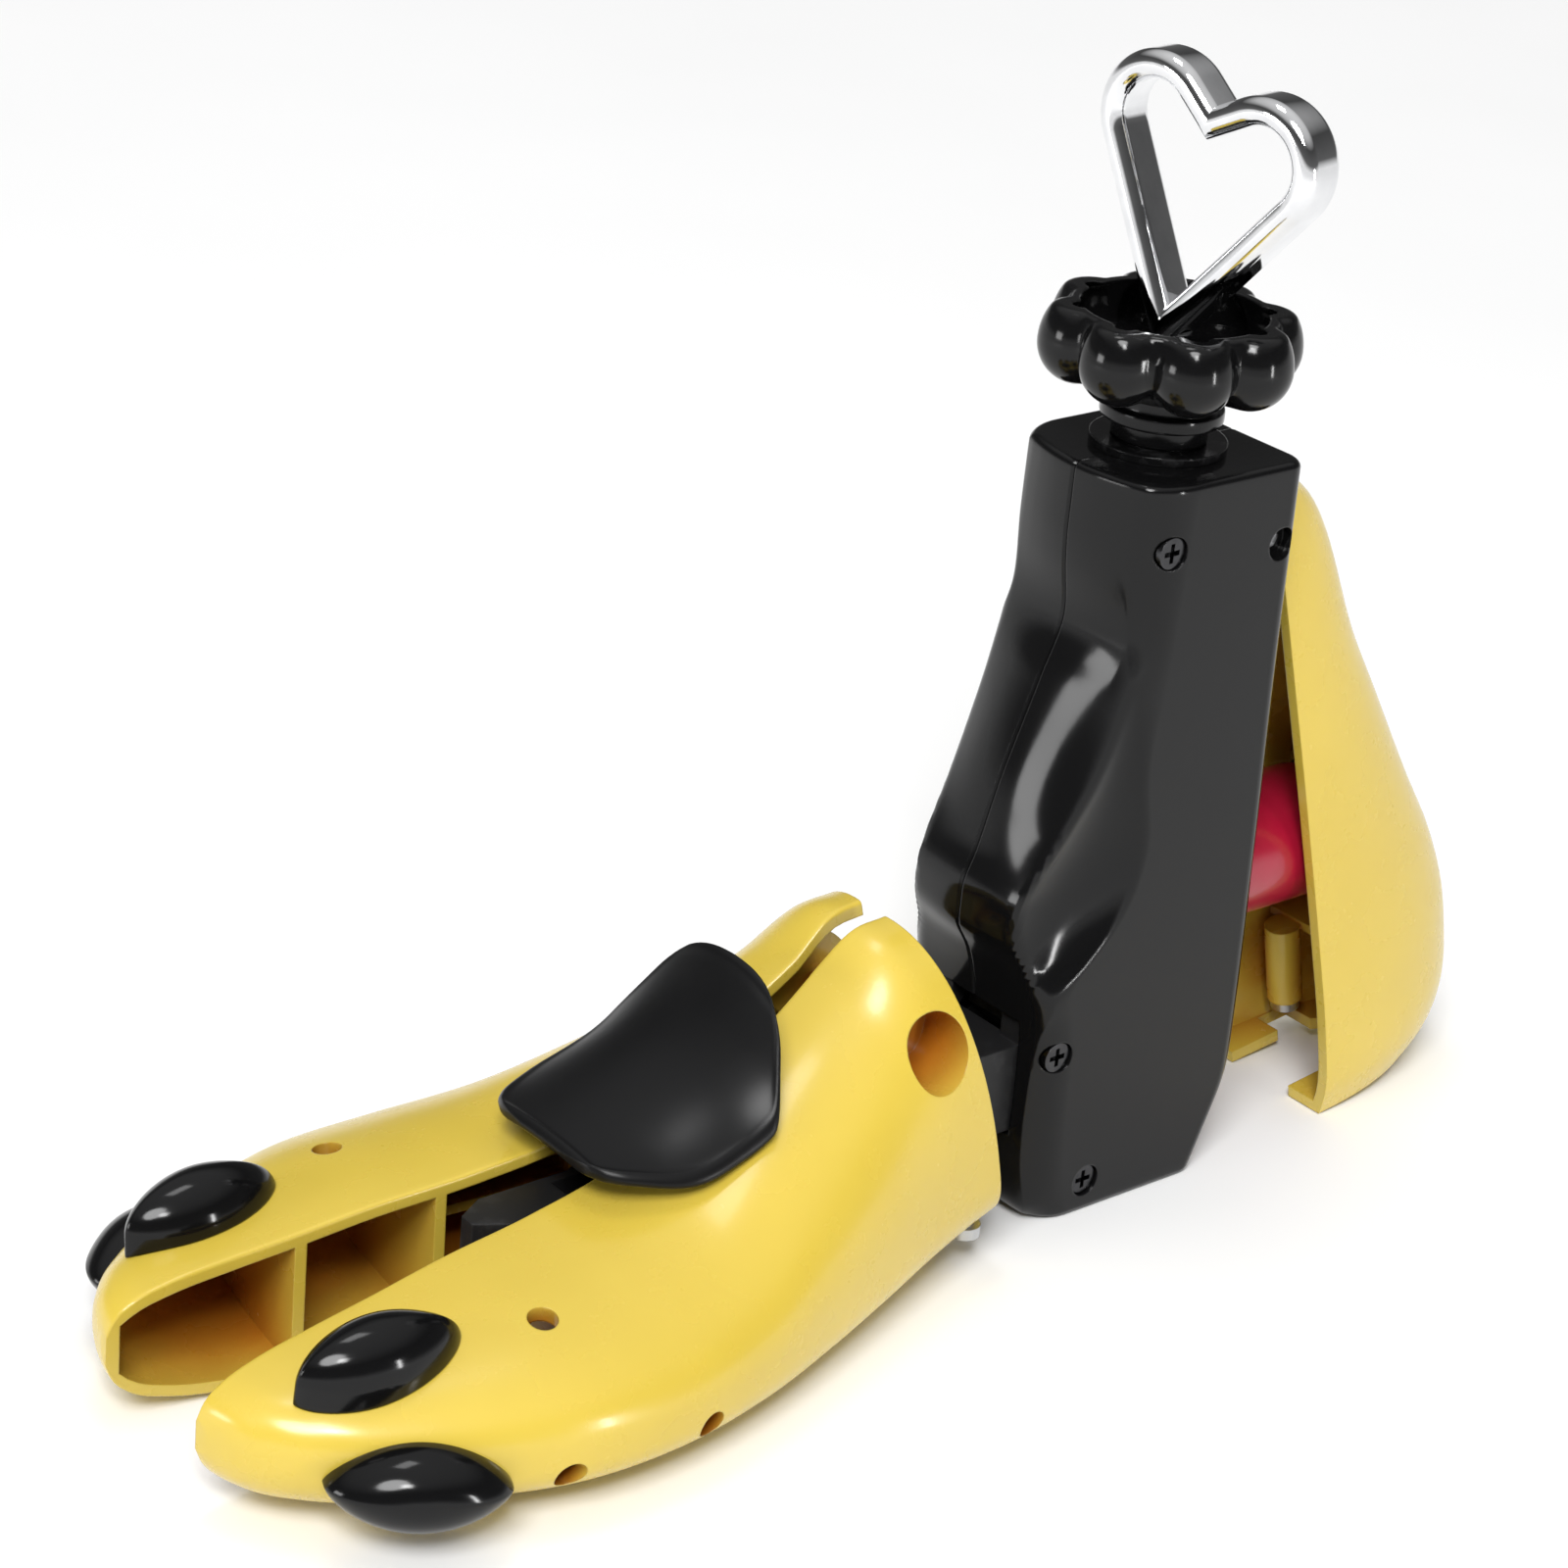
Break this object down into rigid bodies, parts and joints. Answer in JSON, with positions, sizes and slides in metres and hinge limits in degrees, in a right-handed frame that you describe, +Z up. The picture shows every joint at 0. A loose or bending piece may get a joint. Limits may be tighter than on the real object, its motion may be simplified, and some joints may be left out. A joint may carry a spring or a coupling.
{
  "type": "shoe stretcher",
  "caption": "Two-way shoe stretcher: black column with petal knob and heart handle, split yellow forefoot that spreads by a wedge, lifting instep pad, swinging heel shell and corn plugs.",
  "frame": {"origin": "on the floor, on the axis of the spindle", "axes": "+Z up along the spindle, +X towards the heel, -X towards the toe, +Y towards the far half"},
  "size_m": [0.2665, 0.0904, 0.1901],
  "materials": {
    "yellow_gloss": "polished moulded plastic",
    "black_gloss": "polished moulded plastic",
    "black_satin": "satin moulded plastic",
    "pad_black": "satin moulded plastic with a worn bright edge",
    "red_gloss": "polished moulded plastic",
    "chrome": "bright plated",
    "steel": "plated steel"
  },
  "bodies": {
    "column": {"near_column_shell": "black_gloss", "far_column_shell": "black_gloss", "column_screws": "steel", "top_collar": "black_gloss", "mid_bearing": "black_satin", "plunger_guide": "black_satin", "heel_hinge_pins": "steel", "forefoot_frame": "black_satin", "half_hinge_pins": "steel", "frame_screws": "steel", "forefoot_return_spring": "steel"},
    "handle": {"heart_handle": "chrome", "spindle": "steel"},
    "drive_nut": {"drive_nut": "black_satin"},
    "wedge": {"spreader_wedge": "black_satin", "push_rod": "steel"},
    "near_half": {"near_forefoot_half": "yellow_gloss", "near_half_screw": "steel"},
    "far_half": {"far_forefoot_half": "yellow_gloss", "far_half_screw": "steel"},
    "instep": {"instep_pad": "pad_black", "pad_lifter": "black_satin"},
    "knob": {"petal_knob": "black_gloss", "threaded_sleeve": "steel"},
    "heel_nut": {"heel_nut": "black_satin"},
    "plunger": {"heel_plunger": "red_gloss"},
    "heel": {"heel_shell": "yellow_gloss", "heel_screw": "steel"},
    "near_top_plug": {"near_top_plug": "black_gloss"},
    "near_side_plug": {"near_side_plug": "black_gloss"},
    "far_top_plug": {"far_top_plug": "black_gloss"},
    "far_side_plug": {"far_side_plug": "black_gloss"}
  },
  "joints": [
    {"name": "handle_turn", "type": "hinge", "parent": "column", "child": "handle", "pos_m": [0, 0, 0.15], "axis": [0, 0, 1], "range_deg": [-866, 753.5]},
    {"name": "drive_nut_travel", "type": "slide", "parent": "column", "child": "drive_nut", "axis": [0, 0, -1], "range_m": [-0.0096, 0.00835]},
    {"name": "wedge_travel", "type": "slide", "parent": "column", "child": "wedge", "axis": [-1, 0, 0], "range_m": [-0.0097, 0.00845]},
    {"name": "near_half_spread", "type": "hinge", "parent": "column", "child": "near_half", "pos_m": [-0.0515, -0.0055, 0.024], "axis": [0, 0, 1], "range_deg": [-4.65, 4.1], "deforming": ["forefoot_return_spring"]},
    {"name": "far_half_spread", "type": "hinge", "parent": "column", "child": "far_half", "pos_m": [-0.0515, 0.0055, 0.024], "axis": [0, 0, -1], "range_deg": [-4.65, 4.1]},
    {"name": "instep_lift", "type": "slide", "parent": "column", "child": "instep", "axis": [0, 0, 1], "range_m": [-0.0015, 0.0013]},
    {"name": "knob_turn", "type": "hinge", "parent": "column", "child": "knob", "pos_m": [0, 0, 0.14], "axis": [0, 0, 1], "range_deg": [-1280, 425]},
    {"name": "heel_nut_travel", "type": "slide", "parent": "column", "child": "heel_nut", "axis": [0, 0, -1], "range_m": [-0.0142, 0.0047]},
    {"name": "plunger_travel", "type": "slide", "parent": "column", "child": "plunger", "axis": [1, 0, 0], "range_m": [-0.0143, 0.0048]},
    {"name": "heel_swing", "type": "hinge", "parent": "column", "child": "heel", "pos_m": [0.0136, 0, 0.1145], "axis": [0, -1, 0], "range_deg": [-12.05, 4.05]},
    {"name": "near_top_plug_pull", "type": "slide", "parent": "near_half", "child": "near_top_plug", "axis": [0.0091, -0.1041, 0.9945], "range_m": [0, 0.0095]},
    {"name": "near_side_plug_pull", "type": "slide", "parent": "near_half", "child": "near_side_plug", "axis": [-0.4341, -0.89, 0.1392], "range_m": [0, 0.0095]},
    {"name": "far_top_plug_pull", "type": "slide", "parent": "far_half", "child": "far_top_plug", "axis": [0.0091, 0.1041, 0.9945], "range_m": [0, 0.0095]},
    {"name": "far_side_plug_pull", "type": "slide", "parent": "far_half", "child": "far_side_plug", "axis": [-0.4341, 0.89, 0.1392], "range_m": [0, 0.0095]}
  ],
  "couplings": [
    {"joint": "handle_turn", "follows": "drive_nut_travel", "rad_per_m": 1570.8},
    {"joint": "wedge_travel", "follows": "drive_nut_travel", "ratio": 1},
    {"joint": "near_half_spread", "follows": "drive_nut_travel", "rad_per_m": 8.3573},
    {"joint": "far_half_spread", "follows": "drive_nut_travel", "rad_per_m": 8.3573},
    {"joint": "instep_lift", "follows": "drive_nut_travel", "ratio": 0.15},
    {"joint": "knob_turn", "follows": "heel_nut_travel", "rad_per_m": 1570.8},
    {"joint": "plunger_travel", "follows": "heel_nut_travel", "ratio": 1},
    {"joint": "heel_swing", "follows": "heel_nut_travel", "rad_per_m": 14.667}
  ]
}
